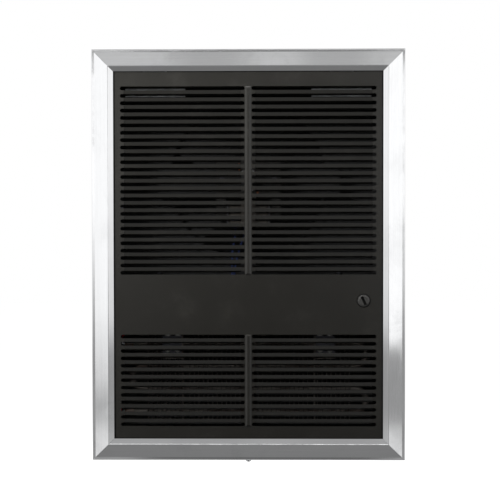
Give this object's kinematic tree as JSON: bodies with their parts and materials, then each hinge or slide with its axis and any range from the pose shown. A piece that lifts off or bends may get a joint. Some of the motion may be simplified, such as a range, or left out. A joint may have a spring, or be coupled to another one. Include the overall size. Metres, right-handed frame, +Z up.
{
  "type": "wall fan heater",
  "caption": "Recessed wall fan heater: mitred aluminium trim frame, louvred steel grille, thermostat knob, and behind them a wall box with fan, motor and finned heating element.",
  "frame": {"origin": "centre of the trim frame on the finished surface of the wall", "axes": "+X right as seen from the room, +Y into the wall, +Z up; the grille faces -Y"},
  "size_m": [0.4064, 0.1147, 0.5354],
  "materials": {
    "trim_aluminium": "bright dipped extrusion with fine die lines",
    "grille_paint": "dark bronze semi-gloss enamel",
    "galvanised": "galvanised sheet with a faint spangle",
    "zinc": "zinc plated",
    "cast_zinc": "as cast",
    "laminations": "stacked laminations, varnished",
    "green_screw": "green dyed",
    "copper": "bare copper",
    "black_plastic": "moulded nylon",
    "winding_tape": "black varnished wrapping tape",
    "bronze": "sintered",
    "black_rubber": "matt",
    "rotor_metal": "cast cage on steel",
    "green_lead": "insulated lead",
    "shaft_steel": "ground",
    "fan_paint": "black enamel on stamped sheet",
    "inner_paint": "flat black enamel",
    "dark_steel": "black oxide",
    "element_sheath": "darkened by heat",
    "element_fins": "steel darkened by heat",
    "bright_screw": "bright nickel",
    "porcelain": "brown glazed ceramic",
    "phenolic": "moulded",
    "knob_black": "moulded",
    "toggle_metal": "nickel plated",
    "brown_phenolic": "moulded",
    "red_button": "moulded",
    "black_lead": "insulated lead",
    "red_lead": "insulated lead",
    "blue_lead": "insulated lead",
    "nut_orange": "moulded"
  },
  "bodies": {
    "heater": {"frame_top": "trim_aluminium", "frame_bottom": "trim_aluminium", "frame_left": "trim_aluminium", "frame_right": "trim_aluminium", "corner_keys": "galvanised", "grille": "grille_paint", "grille_screws": "zinc", "retaining_screw": "zinc", "retaining_bracket": "galvanised", "hanger_brackets": "galvanised", "wall_box": "galvanised", "cable_clamp": "cast_zinc", "clamp_locknut": "zinc", "clamp_bar": "zinc", "clamp_screws": "zinc", "side_rails": "galvanised", "fan_panel": "inner_paint", "chassis_screws": "dark_steel", "venturi_ring": "inner_paint", "control_channel": "inner_paint", "panel_screws": "dark_steel", "air_deflector": "inner_paint", "motor_bracket": "inner_paint", "stator_core": "laminations", "earth_screw": "green_screw", "shading_rings": "copper", "coil_bobbin": "black_plastic", "motor_coil": "winding_tape", "front_bearing_bracket": "inner_paint", "rear_bearing_bracket": "inner_paint", "bearing_bushes": "bronze", "motor_screws": "dark_steel", "motor_grommets": "black_rubber", "lead_green": "green_lead", "element_tube": "element_sheath", "element_fins": "element_fins", "element_supports": "element_sheath", "element_hangers": "dark_steel", "hanger_screws": "bright_screw", "element_bushes": "porcelain", "element_terminals": "zinc", "thermostat_body": "phenolic", "power_switch": "phenolic", "switch_nut": "zinc", "thermal_cutout": "brown_phenolic", "fan_delay_switch": "brown_phenolic", "lead_grommets": "black_rubber", "leads_black": "black_lead", "leads_red": "red_lead", "leads_blue": "blue_lead", "wire_nuts": "nut_orange"},
    "fan": {"rotor": "rotor_metal", "motor_shaft": "shaft_steel", "fan_blades": "fan_paint", "fan_hub": "bronze", "hub_screw": "dark_steel"},
    "thermostat": {"thermostat_stem": "shaft_steel", "thermostat_knob": "knob_black"},
    "toggle": {"switch_toggle": "toggle_metal"},
    "button": {"reset_button": "red_button"}
  },
  "joints": [
    {"name": "fan_spin", "type": "hinge", "parent": "heater", "child": "fan", "pos_m": [0, 0.053, 0.098], "axis": [0, 1, 0], "continuous": true},
    {"name": "thermostat_turn", "type": "hinge", "parent": "heater", "child": "thermostat", "pos_m": [0.1492, 0, -0.0587], "axis": [0, 1, 0], "range_deg": [-120, 150]},
    {"name": "switch_throw", "type": "hinge", "parent": "heater", "child": "toggle", "pos_m": [-0.045, -0.001, -0.065], "axis": [1, 0, 0], "range_deg": [0, 24]},
    {"name": "reset_press", "type": "slide", "parent": "heater", "child": "button", "axis": [0, 1, 0], "range_m": [0, 0.0015], "stiffness_N_per_m": 300}
  ]
}
